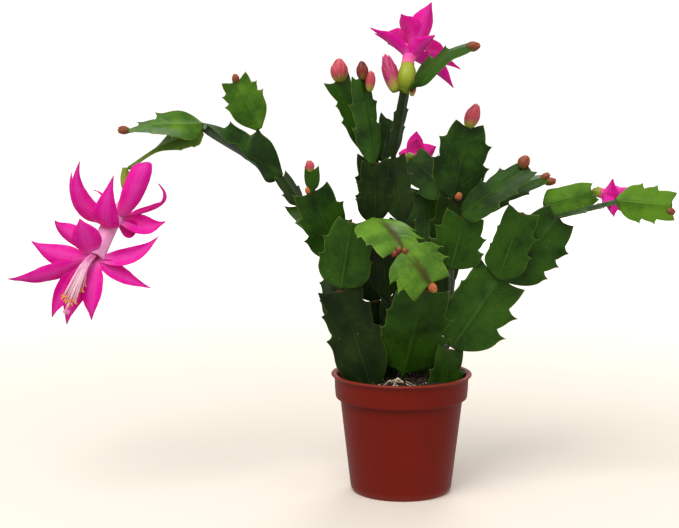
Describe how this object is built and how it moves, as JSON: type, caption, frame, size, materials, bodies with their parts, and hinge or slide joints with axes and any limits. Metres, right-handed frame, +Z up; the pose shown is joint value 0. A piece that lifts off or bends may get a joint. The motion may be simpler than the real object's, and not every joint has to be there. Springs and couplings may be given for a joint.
{
  "type": "potted christmas cactus",
  "caption": "Christmas cactus in flower in a small round plastic pot, with arching toothed stem segments, open two-tier flowers and coloured buds.",
  "frame": {"origin": "middle of the pot's foot, on the surface that it stands on", "axes": "+Z up, +X towards the plant's right-hand side seen from its front, -Y the front"},
  "size_m": [0.2732, 0.0923, 0.2072],
  "materials": {
    "pot": "satin moulded plastic, scuffed",
    "soil": "damp dark peat with pale grit",
    "root": "dry fibrous root",
    "stem": "old waxy stem, partly corky",
    "leaf": "waxy, softly glossy",
    "young_leaf": "waxy, softly glossy",
    "petal": "satin, slightly translucent",
    "stamen": "matt, powdery",
    "bud": "satin"
  },
  "bodies": {
    "root": {"pot": "pot", "soil": "soil", "surface_roots": "root", "front_leaf": "leaf", "front_stem_1": "stem", "front_stem_2": "stem", "young_leaf_1": "young_leaf", "young_leaf_2": "young_leaf", "centre_leaf": "stem", "centre_stem_1": "stem", "centre_stem_2": "stem", "top_leaf": "leaf", "left_leaf_1": "leaf", "left_leaf_2": "leaf", "arch_leaf_1": "leaf", "dark_leaf": "leaf", "small_leaf": "leaf", "arch_leaf_2": "leaf", "arch_leaf_3": "leaf", "arch_leaf_4": "leaf", "bright_leaf": "leaf", "arch_leaf_5": "leaf", "arch_leaf_6": "leaf", "upright_stem_1": "stem", "upright_stem_2": "stem", "upright_stem_3": "stem", "upright_stem_4": "stem", "upright_leaf_1": "leaf", "upright_leaf_2": "leaf", "upright_leaf_3": "stem", "back_stem_1": "stem", "back_stem_2": "stem", "broad_leaf": "leaf", "back_leaf_1": "leaf", "back_leaf_2": "leaf", "right_leaf_1": "leaf", "right_leaf_2": "leaf", "right_leaf_3": "leaf", "right_leaf_4": "leaf", "right_leaf_5": "leaf", "right_leaf_6": "leaf", "right_leaf_7": "leaf", "side_stem_1": "stem", "side_stem_2": "stem", "side_leaf_1": "leaf", "side_leaf_2": "leaf", "side_leaf_3": "leaf", "pink_bud_1": "bud", "red_bud": "bud", "magenta_bud": "bud", "pink_bud_2": "bud", "tip_bud": "bud", "brown_bud": "bud", "orange_bud": "bud", "arch_flower": "petal", "top_flower": "petal", "back_flower": "petal", "side_flower": "petal", "arch_flower_stamens": "stamen"}
  },
  "joints": []
}
